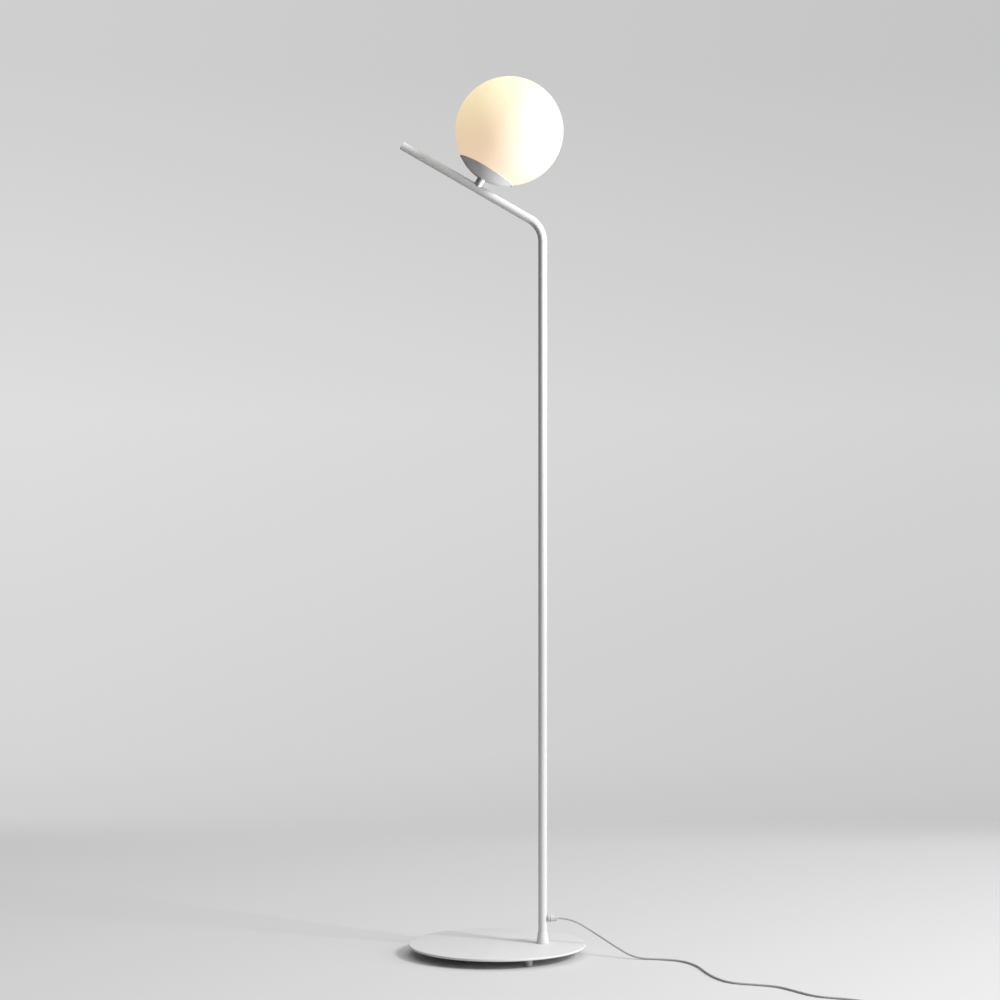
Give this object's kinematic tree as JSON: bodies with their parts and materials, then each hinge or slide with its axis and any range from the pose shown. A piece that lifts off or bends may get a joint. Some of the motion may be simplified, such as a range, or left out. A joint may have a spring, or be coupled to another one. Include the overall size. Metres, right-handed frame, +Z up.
{
  "type": "globe floor lamp",
  "caption": "Floor lamp: round base disc, off-centre bent tube pole with a leaning arm, opal glass globe in a spun cup on a short stem, cord with foot switch and plug.",
  "frame": {"origin": "on the floor under the middle of the base disc", "axes": "+Z up; +X from the arm's free end towards the pole; +Y to the back, away from the picture's viewpoint"},
  "size_m": [0.8189, 0.728, 1.6208],
  "materials": {
    "light_grey_lacquer": "satin",
    "nickel": "polished",
    "zinc_steel": "satin",
    "cast_aluminium": "satin",
    "foot_rubber": "matte",
    "grip_plastic": "satin",
    "opal_glass": "polished",
    "seal_silicone": "matte",
    "holder_plastic": "satin",
    "brass": "satin",
    "bulb_shell": "polished",
    "bulb_black": "gloss",
    "bulb_plastic": "matte",
    "bulb_diffuser": "matte",
    "cord_sheath": "matte",
    "switch_plastic": "satin",
    "pin_insulation": "matte",
    "pin_metal": "polished"
  },
  "bodies": {
    "stand": {"base_plate": "light_grey_lacquer", "pole_collar": "light_grey_lacquer", "bent_tube": "light_grey_lacquer", "arm_end_cap": "light_grey_lacquer", "shade_cup": "light_grey_lacquer", "stem": "nickel", "foot_screws": "zinc_steel", "base_stud": "zinc_steel", "base_washer": "zinc_steel", "base_nut": "zinc_steel", "nipple": "zinc_steel", "cup_nut": "zinc_steel", "terminal_screws": "zinc_steel", "switch_screws": "zinc_steel", "globe_collar": "cast_aluminium", "foot_pads": "foot_rubber", "grip_body": "grip_plastic", "grip_nut": "grip_plastic", "lampholder_base": "holder_plastic", "lampholder_shell": "holder_plastic", "lampholder_insert": "holder_plastic", "screw_shell": "brass", "centre_contact": "brass", "inner_cable": "cord_sheath", "mains_cord": "cord_sheath", "coil_lead": "cord_sheath", "cord_coil": "cord_sheath", "plug_lead": "cord_sheath", "switch_base": "switch_plastic", "switch_cover": "switch_plastic", "switch_block": "switch_plastic", "switch_sleeves": "switch_plastic", "plug_body": "switch_plastic", "plug_sleeve": "switch_plastic", "pin_sleeves": "pin_insulation", "plug_pins": "pin_metal"},
    "globe_carrier": {"globe_seal": "seal_silicone"},
    "globe": {"glass_globe": "opal_glass", "globe_neck_ring": "cast_aluminium"},
    "bulb_carrier": {"bulb_contact": "brass"},
    "bulb": {"bulb_insulator": "bulb_black", "bulb_cap": "bulb_shell", "bulb_housing": "bulb_plastic", "led_board": "cast_aluminium", "bulb_dome": "bulb_diffuser"},
    "foot_button": {"switch_button": "switch_plastic"}
  },
  "joints": [
    {"name": "globe_lift", "type": "slide", "parent": "stand", "child": "globe_carrier", "axis": [0.5, 0, 0.866], "range_m": [0, 0.0081]},
    {"name": "globe_turn", "type": "hinge", "parent": "globe_carrier", "child": "globe", "pos_m": [0.02239, 0, 1.52079], "axis": [0.5, 0, 0.866], "range_deg": [0, 720]},
    {"name": "bulb_lift", "type": "slide", "parent": "stand", "child": "bulb_carrier", "axis": [0.5, 0, 0.866], "range_m": [0, 0.0128]},
    {"name": "bulb_turn", "type": "hinge", "parent": "bulb_carrier", "child": "bulb", "pos_m": [0.02239, 0, 1.52079], "axis": [0.5, 0, 0.866], "range_deg": [0, 1260]},
    {"name": "switch_press", "type": "slide", "parent": "stand", "child": "foot_button", "axis": [0, 0, -1], "range_m": [0, 0.003], "stiffness_N_per_m": 1000, "springref_m": -0.001}
  ],
  "couplings": [
    {"joint": "globe_lift", "follows": "globe_turn", "m_per_rad": 0.00063662},
    {"joint": "bulb_lift", "follows": "bulb_turn", "m_per_rad": 0.00057757}
  ]
}
